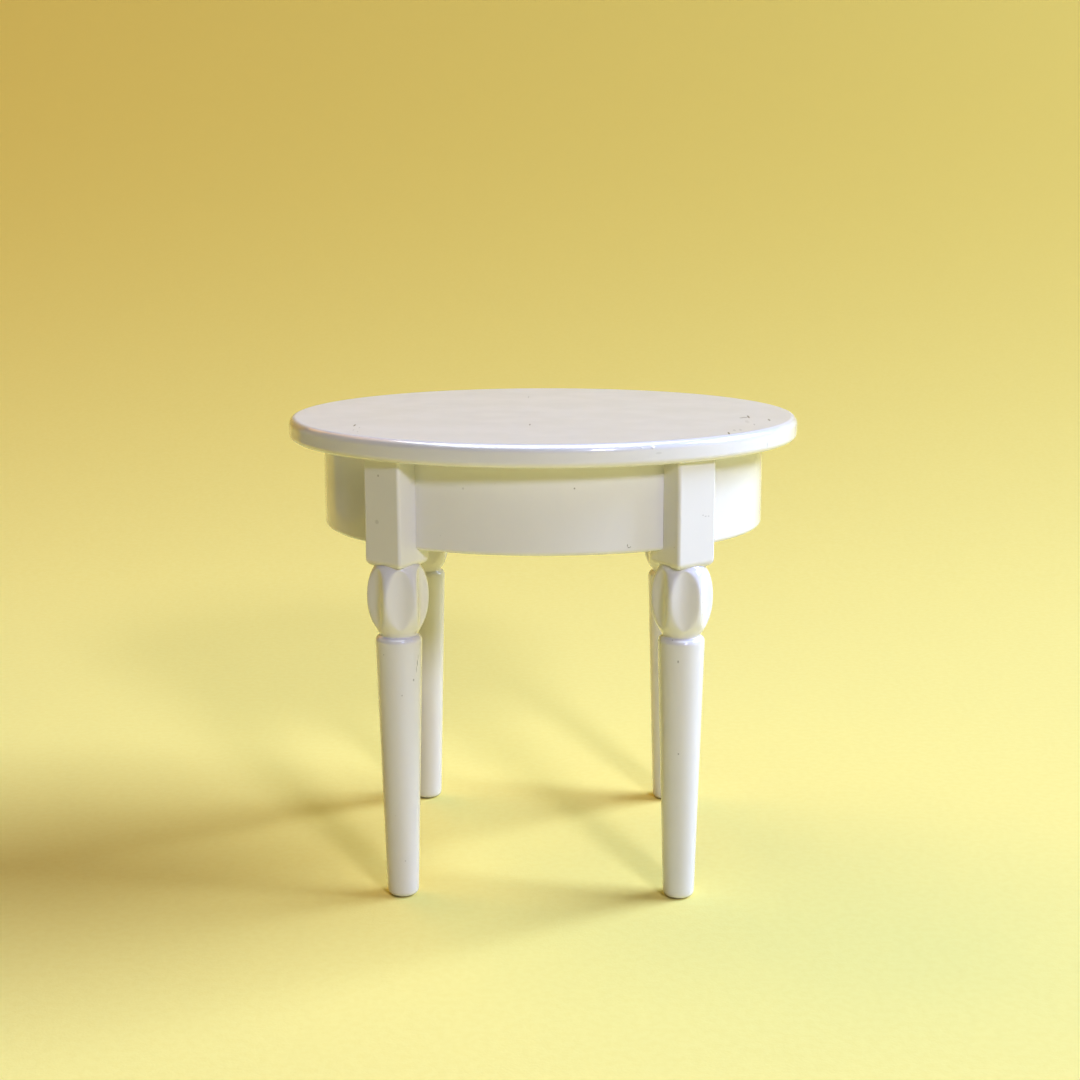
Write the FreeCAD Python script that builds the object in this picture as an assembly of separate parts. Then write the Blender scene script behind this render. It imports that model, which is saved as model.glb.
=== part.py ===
import FreeCAD, Part
import math
import os

# Miniature oval dining table, a 1:12 dolls house piece, in millimetres.
# +X runs along the long side, +Y to the back and +Z up.
# The origin is on the floor, under the middle of the table.

# Driving dimensions.
height = 62.5
top_length = 70.0
top_width = 59.0
top_thickness = 3.0
top_upper_round = 1.0
top_lower_round = 0.8

apron_length = 60.6
apron_width = 49.6
apron_depth = 12.0
rail_thickness = 2.4
rail_outer_round = 0.6
rail_inner_round = 0.3

leg_spacing_x = 37.0
leg_spacing_y = 39.2
block_side = 6.0
block_drop = 2.2
block_turn = 35.0
block_arris = 0.2
block_foot_round = 1.0

bulb_radius = 4.05
bulb_half_height = 6.1
bulb_middle_z = 41.05
neck_z = 36.1
neck_width = 0.3
shoulder_round = 0.6
taper_top_radius = 3.1
taper_foot_radius = 2.1
foot_round = 0.8
flute_count = 6
flute_floor_radius = 3.2
flute_cutter_radius = 3.15

spigot_radius = 1.5
spigot_length = 5.0
tenon_thickness = 1.0
tenon_length = 1.5
tenon_inset = 0.8
tenon_shoulder = 1.4
dowel_radius = 0.8
dowel_in_block = 2.5
dowel_in_top = 1.6
glue_gap = 0.03
end_gap = 0.3

cleat_width = 3.0
cleat_depth = 2.2
cleat_offset_x = 9.0
pin_radius = 0.3
pin_head_radius = 0.6
pin_head_height = 0.2
pin_in_top = 1.5
pin_offset_y = 13.0

# Each corner: name, side in x, side in y, and the turn of its flutes about the leg.
CORNERS = [
    ("front_left", -1, -1, 10.7),
    ("front_right", 1, -1, 3.6),
    ("back_left", -1, 1, 22.0),
    ("back_right", 1, 1, -14.0),
]
# Each cleat pin: which cleat it is in, and towards which rail.
PIN_PLACES = [(-1, -1), (-1, 1), (1, -1), (1, 1)]

# Derived heights.
underside_z = height - top_thickness
apron_foot_z = underside_z - apron_depth
block_foot_z = apron_foot_z - block_drop
socket_depth = spigot_length + end_gap

UP = FreeCAD.Vector(0, 0, 1)
ORIGIN = FreeCAD.Vector(0, 0, 0)


def oval_prism(length, width, z_low, z_high):
    """Upright oval prism about the Z axis, with its seam where the front right leg stands."""
    ellipse = Part.Ellipse(FreeCAD.Vector(0, 0, z_low), length / 2, width / 2)
    seam = -math.atan2(leg_spacing_y / width, leg_spacing_x / length)
    outline = Part.ArcOfEllipse(ellipse, seam, seam + 2 * math.pi).toShape()
    face = Part.Face(Part.Wire([outline]))
    return face.extrude(UP * (z_high - z_low))


def upright_cylinder(radius, x, y, z_low, z_high):
    """Round post with its axis along Z."""
    return Part.makeCylinder(radius, z_high - z_low, FreeCAD.Vector(x, y, z_low))


def centred_box(size_x, size_y, z_low, z_high, x=0.0, y=0.0):
    """Box centred on x, y between two heights."""
    corner = FreeCAD.Vector(x - size_x / 2, y - size_y / 2, z_low)
    return Part.makeBox(size_x, size_y, z_high - z_low, corner)


def edges_at_height(shape, z):
    """The edges that lie flat at one height."""
    flat = []
    for edge in shape.Edges:
        box = edge.BoundBox
        if abs(box.ZMin - z) < 1e-6 and abs(box.ZMax - z) < 1e-6:
            flat.append(edge)
    return flat


def corner_place(side_x, side_y):
    """Centre of a leg, and the turn about Z that faces its block outwards."""
    x = side_x * leg_spacing_x / 2
    y = side_y * leg_spacing_y / 2
    # At turn 0 a block faces -Y. A positive turn swings that face towards +X.
    turn = block_turn * side_x
    if side_y > 0:
        turn = 180.0 - turn
    return x, y, turn


def place_at_corner(shape, side_x, side_y):
    """Turn a shape made about the origin and set it on a leg's centre."""
    x, y, turn = corner_place(side_x, side_y)
    shape.rotate(ORIGIN, UP, turn)
    shape.translate(FreeCAD.Vector(x, y, 0))
    return shape


def make_table_top():
    """Oval slab with rounded edges and a blind hole over each corner block."""
    top = oval_prism(top_length, top_width, underside_z, height)
    top = top.makeFillet(top_upper_round, edges_at_height(top, height))
    top = top.makeFillet(top_lower_round, edges_at_height(top, underside_z))
    for _, side_x, side_y, _ in CORNERS:
        x, y, _ = corner_place(side_x, side_y)
        hole_top = underside_z + dowel_in_top + end_gap
        hole = upright_cylinder(dowel_radius + glue_gap, x, y, underside_z, hole_top)
        top = top.cut(hole)
    for side_x, side_y in PIN_PLACES:
        x = side_x * cleat_offset_x
        y = side_y * pin_offset_y
        top = top.cut(upright_cylinder(pin_radius, x, y, underside_z, underside_z + pin_in_top))
    return top


def make_apron_ring():
    """The whole oval apron, before it is cut into rails."""
    ring = oval_prism(apron_length, apron_width, apron_foot_z, underside_z)
    ring = ring.makeFillet(rail_outer_round, edges_at_height(ring, apron_foot_z))
    inner_length = apron_length - 2 * rail_thickness
    inner_width = apron_width - 2 * rail_thickness
    hollow = oval_prism(inner_length, inner_width, apron_foot_z, underside_z)
    ring = ring.cut(hollow)
    inner_edges = []
    for edge in edges_at_height(ring, apron_foot_z):
        if edge.BoundBox.XLength < inner_length + rail_inner_round:
            inner_edges.append(edge)
    return ring.makeFillet(rail_inner_round, inner_edges)


def tenon_pair(clearance, length):
    """The two tenons that meet a block, drawn about the block's own centre.

    Locally the block faces -Y, so the rails meet its +X and -X sides behind its middle.
    """
    low = apron_foot_z + tenon_shoulder - clearance
    high = underside_z - tenon_shoulder + clearance
    thickness = tenon_thickness + 2 * clearance
    inner_end = block_side / 2 - length
    outer_end = block_side / 2 + rail_thickness / 2
    pair = []
    for side in (-1, 1):
        middle = side * (inner_end + outer_end) / 2
        middle_y = tenon_inset + tenon_thickness / 2
        pair.append(centred_box(outer_end - inner_end, thickness, low, high, middle, middle_y))
    return pair


def make_corner_block(side_x, side_y):
    """Square block with a leg socket, two mortises and a dowel hole."""
    block = centred_box(block_side, block_side, block_foot_z, underside_z)
    block = block.makeFillet(block_foot_round, edges_at_height(block, block_foot_z))
    arrises = []
    for edge in block.Edges:
        rises = edge.BoundBox.ZLength > block_foot_round / 2
        outside = abs(edge.CenterOfMass.x) > block_side / 4 and abs(edge.CenterOfMass.y) > block_side / 4
        if rises and outside:
            arrises.append(edge)
    block = block.makeFillet(block_arris, arrises)
    socket_top = block_foot_z + socket_depth
    block = block.cut(upright_cylinder(spigot_radius + glue_gap, 0, 0, block_foot_z, socket_top))
    hole_foot = underside_z - dowel_in_block - end_gap
    block = block.cut(upright_cylinder(dowel_radius + glue_gap, 0, 0, hole_foot, underside_z))
    for mortise in tenon_pair(glue_gap, tenon_length + end_gap):
        block = block.cut(mortise)
    return place_at_corner(block, side_x, side_y)


def block_envelope(side_x, side_y):
    """The plain square post that a rail's end butts against."""
    post = centred_box(block_side, block_side, apron_foot_z - 1, underside_z + 1)
    return place_at_corner(post, side_x, side_y)


def make_rails():
    """Cut the ring at the blocks and give each rail its two tenons."""
    ring = make_apron_ring()
    for _, side_x, side_y, _ in CORNERS:
        ring = ring.cut(block_envelope(side_x, side_y))
    rails = {}
    for solid in ring.Solids:
        centre = solid.CenterOfMass
        if abs(centre.x) > abs(centre.y):
            name = "apron_right" if centre.x > 0 else "apron_left"
        else:
            name = "apron_back" if centre.y > 0 else "apron_front"
        rails[name] = solid
    for _, side_x, side_y, _ in CORNERS:
        for tenon in tenon_pair(0.0, tenon_length):
            tenon = place_at_corner(tenon, side_x, side_y)
            for name, rail in rails.items():
                if rail.common(tenon).Volume > 1e-3:
                    rails[name] = rail.fuse(tenon).removeSplitter()
    return rails


def taper_radius(z):
    """Radius of the plain shaft at a height."""
    share = z / neck_z
    return taper_foot_radius + (taper_top_radius - taper_foot_radius) * share


def bulb_profile_radius(z):
    """Radius of the bulb at a height, before fluting."""
    share = (z - bulb_middle_z) / bulb_half_height
    return bulb_radius * math.sqrt(1 - share * share)


def leg_profile():
    """Half outline of the turned leg, from foot to spigot, as one closed wire."""
    def point(radius, z):
        return FreeCAD.Vector(radius, 0, z)

    def arc(start, middle, end):
        return Part.Arc(start, middle, end).toShape()

    def line(start, end):
        return Part.LineSegment(start, end).toShape()

    diagonal = 1 - math.sqrt(0.5)
    bulb_foot_z = neck_z + neck_width
    shoulder_z = neck_z - shoulder_round
    foot_radius = taper_radius(foot_round)
    shoulder_radius = taper_radius(shoulder_z)
    neck_radius = shoulder_radius - shoulder_round
    bulb_foot = point(bulb_profile_radius(bulb_foot_z), bulb_foot_z)
    bulb_top = point(bulb_profile_radius(block_foot_z), block_foot_z)
    spigot_top_z = block_foot_z + spigot_length
    foot_middle = point(foot_radius - foot_round * diagonal, foot_round * diagonal)
    shoulder_middle = point(
        shoulder_radius - shoulder_round * diagonal, neck_z - shoulder_round * diagonal
    )
    # The bulb is a stretch of an upright ellipse.
    ellipse = Part.Ellipse(
        point(0, bulb_middle_z + bulb_half_height),
        point(bulb_radius, bulb_middle_z),
        point(0, bulb_middle_z),
    )
    start = ellipse.parameter(bulb_foot)
    end = ellipse.parameter(bulb_top)
    bulb = Part.ArcOfEllipse(ellipse, min(start, end), max(start, end)).toShape()
    edges = [
        line(point(0, 0), point(foot_radius - foot_round, 0)),
        arc(point(foot_radius - foot_round, 0), foot_middle, point(foot_radius, foot_round)),
        line(point(foot_radius, foot_round), point(shoulder_radius, shoulder_z)),
        arc(point(shoulder_radius, shoulder_z), shoulder_middle, point(neck_radius, neck_z)),
        line(point(neck_radius, neck_z), bulb_foot),
        bulb,
        line(bulb_top, point(spigot_radius, block_foot_z)),
        line(point(spigot_radius, block_foot_z), point(spigot_radius, spigot_top_z)),
        line(point(spigot_radius, spigot_top_z), point(0, spigot_top_z)),
        line(point(0, spigot_top_z), point(0, 0)),
    ]
    return Part.Wire(Part.__sortEdges__(edges))


def make_leg(side_x, side_y, flute_turn):
    """Turned leg with its spigot, and six scoops cut round the bulb."""
    leg = Part.Face(leg_profile()).revolve(ORIGIN, UP, 360)
    cutter_distance = flute_floor_radius + flute_cutter_radius
    for index in range(flute_count):
        turn = math.radians(flute_turn + 360.0 * index / flute_count)
        x = cutter_distance * math.sin(turn)
        y = -cutter_distance * math.cos(turn)
        cutter = upright_cylinder(flute_cutter_radius, x, y, neck_z + neck_width, block_foot_z)
        leg = leg.cut(cutter)
    x, y, _ = corner_place(side_x, side_y)
    leg.translate(FreeCAD.Vector(x, y, 0))
    return leg


def make_dowels():
    """Four pegs that join the corner blocks to the top."""
    pegs = []
    for _, side_x, side_y, _ in CORNERS:
        x, y, _ = corner_place(side_x, side_y)
        low = underside_z - dowel_in_block
        pegs.append(upright_cylinder(dowel_radius, x, y, low, underside_z + dowel_in_top))
    return Part.makeCompound(pegs)


def make_cleat(side_x):
    """Batten under the top, cut to the curve of the rails at both ends."""
    low = underside_z - cleat_depth
    bar = centred_box(cleat_width, apron_width, low, underside_z, side_x * cleat_offset_x)
    fit = 2 * (rail_thickness + glue_gap)
    bar = bar.common(oval_prism(apron_length - fit, apron_width - fit, low, underside_z))
    for pin_side_x, side_y in PIN_PLACES:
        if pin_side_x == side_x:
            x = side_x * cleat_offset_x
            y = side_y * pin_offset_y
            bar = bar.cut(upright_cylinder(pin_radius, x, y, low, underside_z))
    return bar


def make_cleat_pins():
    """Four brads driven up through the cleats into the top."""
    pins = []
    for side_x, side_y in PIN_PLACES:
        x = side_x * cleat_offset_x
        y = side_y * pin_offset_y
        head_top = underside_z - cleat_depth
        shank = upright_cylinder(pin_radius, x, y, head_top, underside_z + pin_in_top)
        head = upright_cylinder(pin_head_radius, x, y, head_top - pin_head_height, head_top)
        pins.append(shank.fuse(head))
    return Part.makeCompound(pins)



def main():
    nodes = {"table_top": make_table_top()}
    nodes.update(make_rails())
    for name, side_x, side_y, flute_turn in CORNERS:
        nodes["corner_block_" + name] = make_corner_block(side_x, side_y)
        nodes["leg_" + name] = make_leg(side_x, side_y, flute_turn)
    nodes["block_dowels"] = make_dowels()
    nodes["top_cleat_left"] = make_cleat(-1)
    nodes["top_cleat_right"] = make_cleat(1)
    nodes["cleat_pins"] = make_cleat_pins()

    os.makedirs("parts", exist_ok=True)
    for name, shape in nodes.items():
        shape.exportStep("parts/" + name + ".step")
        box = shape.BoundBox
        print(name, "valid", shape.isValid(), "solids", len(shape.Solids), "volume", round(shape.Volume, 2),
              "z", round(box.ZMin, 2), round(box.ZMax, 2))


main()
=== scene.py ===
import math

import bmesh
import bpy
from mathutils import Matrix, Vector


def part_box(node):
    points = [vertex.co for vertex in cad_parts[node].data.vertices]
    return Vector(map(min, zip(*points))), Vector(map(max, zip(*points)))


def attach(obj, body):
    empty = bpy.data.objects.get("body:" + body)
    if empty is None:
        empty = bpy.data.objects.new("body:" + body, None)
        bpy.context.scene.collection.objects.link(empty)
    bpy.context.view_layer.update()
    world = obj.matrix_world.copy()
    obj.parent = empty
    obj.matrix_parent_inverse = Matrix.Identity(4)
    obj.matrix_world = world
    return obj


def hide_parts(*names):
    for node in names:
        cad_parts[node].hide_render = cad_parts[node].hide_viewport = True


# Miniature oval dining table in sprayed white lacquer. Metres, +X along the
# long side, +Y to the back, +Z up, floor at zero.

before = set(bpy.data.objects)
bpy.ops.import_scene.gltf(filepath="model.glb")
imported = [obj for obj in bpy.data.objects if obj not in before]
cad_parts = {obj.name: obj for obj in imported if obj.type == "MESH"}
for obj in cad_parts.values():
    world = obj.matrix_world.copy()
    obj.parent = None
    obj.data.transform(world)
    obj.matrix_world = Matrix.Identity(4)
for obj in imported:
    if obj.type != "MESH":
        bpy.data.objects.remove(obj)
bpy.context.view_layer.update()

MM = 0.001

# Sizes read from the frame.
TOP_LOW, TOP_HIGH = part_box("table_top")
BLOCK_LOW, BLOCK_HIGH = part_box("corner_block_front_right")
DOWEL_LOW, DOWEL_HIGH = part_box("block_dowels")
PIN_LOW, PIN_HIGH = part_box("cleat_pins")
FRONT_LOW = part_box("apron_front")[0]

HEIGHT = TOP_HIGH.z
UNDERSIDE = TOP_LOW.z
TOP_HALF_LENGTH = TOP_HIGH.x
TOP_HALF_WIDTH = TOP_HIGH.y
APRON_HALF_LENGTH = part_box("apron_right")[1].x
APRON_HALF_WIDTH = -FRONT_LOW.y
APRON_FOOT = FRONT_LOW.z
BLOCK_FOOT = BLOCK_LOW.z
LEG_X = (BLOCK_LOW.x + BLOCK_HIGH.x) / 2
LEG_Y = -(BLOCK_LOW.y + BLOCK_HIGH.y) / 2
SPIGOT_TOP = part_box("leg_front_right")[1].z

# Sizes of the maker's own tools and rounds.
TOP_UPPER_ROUND = 1.0 * MM
TOP_LOWER_ROUND = 0.8 * MM
RAIL_THICKNESS = 2.4 * MM
RAIL_OUTER_ROUND = 0.6 * MM
RAIL_INNER_ROUND = 0.3 * MM
BLOCK_SIDE = 6.0 * MM
BLOCK_TURN = math.radians(35.0)
BLOCK_ARRIS = 0.4 * MM
BLOCK_FOOT_ROUND = 1.0 * MM
GLUE_GAP = 0.03 * MM
END_GAP = 0.3 * MM
OVERCUT = 1.0 * MM
TENON_THICKNESS = 1.0 * MM
TENON_LENGTH = 1.5 * MM
TENON_INSET = 0.8 * MM
TENON_SHOULDER = 1.4 * MM
SPIGOT_RADIUS = 1.5 * MM
SPIGOT_TIP_ROUND = 0.15 * MM
DOWEL_RADIUS = 0.8 * MM

BULB_RADIUS = 4.05 * MM
BULB_HALF_HEIGHT = 6.1 * MM
BULB_MIDDLE = 41.05 * MM
BULB_FULLNESS = 2.3
BULB_CROWN = 45.85 * MM
SEAT_GAP = 0.02 * MM
SEAT_CUTTER_DROP = 0.4 * MM
SEAT_STEPS = 10
NECK_HEIGHT = 36.1 * MM
NECK_RADIUS = 2.5 * MM
SHOULDER_ROUND = 0.85 * MM
SHOULDER_END = math.radians(70)
TAPER_TOP_RADIUS = 3.1 * MM
TAPER_FOOT_RADIUS = 2.1 * MM
FOOT_ROUND = 0.8 * MM
# Heights of the rings that keep the taper straight, and how far under the shoulder
# the last one sits.
TAPER_RINGS = [2.2 * MM, 9 * MM, 18 * MM, 27 * MM, 33 * MM]
SHOULDER_HOLD = 0.4 * MM
CLEAT_ROUND = 0.3 * MM
PIN_RADIUS = 0.3 * MM
PIN_HEAD_RADIUS = 0.6 * MM
PIN_HEAD_HEIGHT = 0.2 * MM
PIN_HEAD_CROWN = 0.45
# Shares of the head's radius and of its height, from its crown to its flat.
PIN_HEAD_PROFILE = [(0.8, 0.15), (0.95, 0.45), (1.0, 0.8), (1.0, 1.0)]
PIN_TIP = 0.4 * MM
PIN_STEPS = 24
PIN_HEAD_STEPS = 32
PIN_PLACES = [(x * MM, y * MM) for x in (-9, 9) for y in (-13, 13)]

FLUTES = 6
FLUTE_FLOOR = 3.15 * MM
FLUTE_CUTTER = 3.25 * MM
FLUTE_LEAN = 0.03
FLUTE_LOW_TIP = 37.15 * MM
FLUTE_HIGH_TIP = 45.2 * MM
FLUTE_TIP_ANGLE = math.radians(5)
LEG_COLUMNS = 36
COLUMNS_PER_FLUTE = LEG_COLUMNS // FLUTES
LEG_SMOOTHING = 3

# Each corner: its name, its side in x and in y, and the turn of its flutes in degrees.
CORNERS = [
    ("front_left", -1, -1, 10.7),
    ("front_right", 1, -1, 3.6),
    ("back_left", -1, 1, 22.0),
    ("back_right", 1, 1, -14.0),
]
OVAL_STEPS = 256
ROUND_STEPS = 48
SMOOTH_ANGLE = math.radians(40)
PIN_SMOOTH_ANGLE = math.radians(50)
# How near two heights, and two points, have to be to count as the same.
SAME_HEIGHT = 1e-6
SAME_POINT = 1e-7


# ---------------------------------------------------------------- mesh helpers

def pick_none():
    """Leave edit mode with nothing selected."""
    if bpy.context.object and bpy.context.object.mode != "OBJECT":
        bpy.ops.object.mode_set(mode="OBJECT")
    bpy.ops.object.select_all(action="DESELECT")


def pick(piece):
    """Make one piece the selected and active one."""
    pick_none()
    piece.select_set(True)
    bpy.context.view_layer.objects.active = piece


def start(name):
    """Take the primitive just added, put its place in its mesh and name it."""
    piece = bpy.context.object
    piece.name = name
    piece.data.name = name
    bpy.ops.object.transform_apply(location=True, rotation=True, scale=True)
    return piece


def edit(piece):
    """Open a piece for editing with nothing in it selected."""
    pick(piece)
    bpy.ops.object.mode_set(mode="EDIT")
    bpy.ops.mesh.select_mode(type="VERT")
    bpy.ops.mesh.select_all(action="DESELECT")


def close():
    """Go back to object mode."""
    bpy.ops.object.mode_set(mode="OBJECT")


def choose(kind, test):
    """In edit mode, select the faces, edges or points that pass a test."""
    bpy.ops.mesh.select_mode(type=kind)
    bpy.ops.mesh.select_all(action="DESELECT")
    mesh = bmesh.from_edit_mesh(bpy.context.object.data)
    members = {"VERT": mesh.verts, "EDGE": mesh.edges, "FACE": mesh.faces}[kind]
    for member in members:
        if test(member):
            member.select_set(True)
    mesh.select_flush_mode()
    bmesh.update_edit_mesh(bpy.context.object.data)


def level(edge, z):
    """True if an edge lies flat at one height."""
    return all(abs(v.co.z - z) < SAME_HEIGHT for v in edge.verts)


def apply_all(piece):
    """Apply every modifier on a piece."""
    pick(piece)
    for modifier in list(piece.modifiers):
        bpy.ops.object.modifier_apply(modifier=modifier.name)


def cut(piece, cutter, operation="DIFFERENCE"):
    """Cut one piece with another, or join them, and remove the cutter."""
    modifier = piece.modifiers.new("cut", "BOOLEAN")
    modifier.operation = operation
    modifier.solver = "EXACT"
    modifier.object = cutter
    apply_all(piece)
    bpy.data.objects.remove(cutter)


def soften(piece, angle=SMOOTH_ANGLE):
    """Smooth shading, with flat faces kept flat right up to their rounds."""
    pick(piece)
    bpy.ops.object.shade_smooth_by_angle(angle=angle)
    modifier = piece.modifiers.new("flat faces", "WEIGHTED_NORMAL")
    modifier.keep_sharp = True
    modifier.weight = 90
    apply_all(piece)


def copy_of(piece, name):
    """A copy with its own mesh."""
    twin = piece.copy()
    twin.data = piece.data.copy()
    twin.name = name
    twin.data.name = name
    bpy.context.scene.collection.objects.link(twin)
    return twin


def turn_and_place(piece, angle, x, y):
    """Turn a piece about the upright axis, move it, and keep both in its mesh."""
    piece.rotation_euler = (0, 0, angle)
    piece.location = (x, y, 0)
    pick(piece)
    bpy.ops.object.transform_apply(location=True, rotation=True, scale=True)
    return piece


def corner_place(side_x, side_y):
    """Centre of a leg, and the turn that faces its block outwards."""
    turn = BLOCK_TURN * side_x
    if side_y > 0:
        turn = math.pi - turn
    return side_x * LEG_X, side_y * LEG_Y, turn


def upright_cylinder(name, radius, low, high, x=0.0, y=0.0, steps=ROUND_STEPS):
    """An upright cylinder between two heights."""
    bpy.ops.mesh.primitive_cylinder_add(
        vertices=steps, radius=radius, depth=high - low, location=(x, y, (low + high) / 2)
    )
    return start(name)


def box_between(name, low, high):
    """A box from its lowest to its highest corner."""
    low, high = Vector(low), Vector(high)
    bpy.ops.mesh.primitive_cube_add(size=1, location=(low + high) / 2, scale=high - low)
    return start(name)


def oval_cylinder(name, half_length, half_width, low, high):
    """An upright oval cylinder with closed ends."""
    bpy.ops.mesh.primitive_cylinder_add(
        vertices=OVAL_STEPS, radius=1, depth=high - low, location=(0, 0, (low + high) / 2)
    )
    piece = start(name)
    edit(piece)
    bpy.ops.mesh.select_all(action="SELECT")
    bpy.ops.transform.resize(value=(half_length, half_width, 1), center_override=(0, 0, 0))
    close()
    return piece


def push_ring(x, y, radius, z, next_radius, next_z):
    """Extrude the open end of a turned piece to its next ring."""
    bpy.ops.mesh.extrude_region_move(TRANSFORM_OT_translate={"value": (0, 0, next_z - z)})
    ratio = next_radius / radius
    bpy.ops.transform.resize(value=(ratio, ratio, 1), center_override=(x, y, next_z))
    return next_radius, next_z


# ---------------------------------------------------------------------- pieces

def make_table_top():
    """Oval slab, rounded above and below, with blind holes for dowels and pins."""
    top = oval_cylinder("table_top_slab", TOP_HALF_LENGTH, TOP_HALF_WIDTH, UNDERSIDE, HEIGHT)
    edit(top)
    choose("EDGE", lambda e: level(e, HEIGHT))
    bpy.ops.mesh.bevel(offset=TOP_UPPER_ROUND, segments=10, profile=0.5, affect="EDGES")
    choose("EDGE", lambda e: level(e, UNDERSIDE))
    bpy.ops.mesh.bevel(offset=TOP_LOWER_ROUND, segments=8, profile=0.5, affect="EDGES")
    close()
    for _, side_x, side_y, _ in CORNERS:
        x, y, _ = corner_place(side_x, side_y)
        hole = upright_cylinder(
            "hole", DOWEL_RADIUS + GLUE_GAP, UNDERSIDE - OVERCUT, DOWEL_HIGH.z + END_GAP, x, y
        )
        cut(top, hole)
    for x, y in PIN_PLACES:
        hole = upright_cylinder(
            "hole", PIN_RADIUS + GLUE_GAP, UNDERSIDE - OVERCUT, PIN_HIGH.z, x, y, PIN_STEPS
        )
        cut(top, hole)
    soften(top)
    return top


def make_apron_ring():
    """The whole oval apron, with its lower edges rounded."""
    ring = oval_cylinder("ring", APRON_HALF_LENGTH, APRON_HALF_WIDTH, APRON_FOOT, UNDERSIDE)
    edit(ring)
    choose("EDGE", lambda e: level(e, APRON_FOOT))
    bpy.ops.mesh.bevel(offset=RAIL_OUTER_ROUND, segments=8, profile=0.5, affect="EDGES")
    close()
    bore = oval_cylinder(
        "bore", APRON_HALF_LENGTH - RAIL_THICKNESS, APRON_HALF_WIDTH - RAIL_THICKNESS,
        APRON_FOOT - OVERCUT, UNDERSIDE + OVERCUT,
    )
    cut(ring, bore)
    edit(ring)

    def inner_foot(edge):
        middle = (edge.verts[0].co + edge.verts[1].co) / 2
        reach = Vector((middle.x / APRON_HALF_LENGTH, middle.y / APRON_HALF_WIDTH)).length
        return level(edge, APRON_FOOT) and reach < 1 - 0.8 * RAIL_THICKNESS / APRON_HALF_LENGTH

    choose("EDGE", inner_foot)
    bpy.ops.mesh.bevel(offset=RAIL_INNER_ROUND, segments=4, profile=0.5, affect="EDGES")
    close()
    return ring


def side_plane(side_x, side_y, side):
    """A point on one side face of a corner block, and that face's outward normal."""
    x, y, turn = corner_place(side_x, side_y)
    normal = Vector((math.cos(turn), math.sin(turn), 0)) * side
    return Vector((x, y, 0)) + normal * BLOCK_SIDE / 2, normal


def make_tenon(side_x, side_y, side, gap, length):
    """The tenon that enters one side of a corner block."""
    inner = BLOCK_SIDE / 2 - length
    outer = BLOCK_SIDE / 2 + RAIL_THICKNESS / 2
    low_x, high_x = sorted((side * inner, side * outer))
    tenon = box_between(
        "tenon",
        (low_x, TENON_INSET - gap, APRON_FOOT + TENON_SHOULDER - gap),
        (high_x, TENON_INSET + TENON_THICKNESS + gap, UNDERSIDE - TENON_SHOULDER + gap),
    )
    x, y, turn = corner_place(side_x, side_y)
    return turn_and_place(tenon, turn, x, y)


def make_rail(ring, name, ends):
    """Saw one rail out of the ring at two block faces and add its tenons."""
    rail = copy_of(ring, name)
    edit(rail)
    for side_x, side_y, side in ends:
        point, normal = side_plane(side_x, side_y, side)
        bpy.ops.mesh.select_all(action="SELECT")
        bpy.ops.mesh.bisect(
            plane_co=point, plane_no=normal, use_fill=True, clear_inner=True,
            threshold=SAME_POINT,
        )
    close()
    for side_x, side_y, side in ends:
        cut(rail, make_tenon(side_x, side_y, side, 0.0, TENON_LENGTH), "UNION")
    soften(rail)
    return rail


def make_seat_cutter():
    """The shape of the bulb's crown, for the shallow seat it is let into."""
    foot = BLOCK_FOOT - SEAT_CUTTER_DROP
    first = bulb_radius_at(foot) + SEAT_GAP
    bpy.ops.mesh.primitive_circle_add(
        vertices=2 * LEG_COLUMNS, radius=first, fill_type="NGON", location=(0, 0, foot)
    )
    cutter = start("crown")
    edit(cutter)
    bpy.ops.mesh.select_all(action="SELECT")
    radius, z = first, foot
    for step in range(1, SEAT_STEPS + 1):
        next_z = foot + (BULB_CROWN - foot) * step / SEAT_STEPS
        radius, z = push_ring(0, 0, radius, z, bulb_radius_at(next_z) + SEAT_GAP, next_z)
    push_ring(0, 0, radius, z, radius, BULB_CROWN + SEAT_GAP)
    bpy.ops.mesh.select_all(action="SELECT")
    bpy.ops.mesh.normals_make_consistent(inside=False)
    close()
    return cutter


def make_corner_block():
    """Square block at the origin, facing -Y, with socket, mortises and dowel hole."""
    half = BLOCK_SIDE / 2
    block = box_between("block", (-half, -half, BLOCK_FOOT), (half, half, UNDERSIDE))
    edit(block)
    choose("EDGE", lambda e: level(e, BLOCK_FOOT))
    bpy.ops.mesh.bevel(offset=BLOCK_FOOT_ROUND, segments=10, profile=0.5, affect="EDGES")

    def arris(edge):
        a, b = edge.verts
        rises = abs(a.co.z - b.co.z) > SAME_POINT
        middle = (a.co + b.co) / 2
        return rises and abs(abs(middle.x) - abs(middle.y)) < SAME_POINT

    choose("EDGE", arris)
    bpy.ops.mesh.bevel(offset=BLOCK_ARRIS, segments=5, profile=0.5, affect="EDGES")
    close()
    cut(block, make_seat_cutter())
    socket_top = SPIGOT_TOP + END_GAP
    socket = upright_cylinder(
        "socket", SPIGOT_RADIUS + GLUE_GAP, BLOCK_FOOT - OVERCUT, socket_top
    )
    cut(block, socket)
    hole = upright_cylinder(
        "hole", DOWEL_RADIUS + GLUE_GAP, DOWEL_LOW.z - END_GAP, UNDERSIDE + OVERCUT
    )
    cut(block, hole)
    for side in (-1, 1):
        inner = half - TENON_LENGTH - END_GAP
        low_x, high_x = sorted((side * inner, side * (half + OVERCUT)))
        mortise = box_between(
            "mortise",
            (low_x, TENON_INSET - GLUE_GAP, APRON_FOOT + TENON_SHOULDER - GLUE_GAP),
            (high_x, TENON_INSET + TENON_THICKNESS + GLUE_GAP,
             UNDERSIDE - TENON_SHOULDER + GLUE_GAP),
        )
        cut(block, mortise)
    soften(block)
    return block


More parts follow.
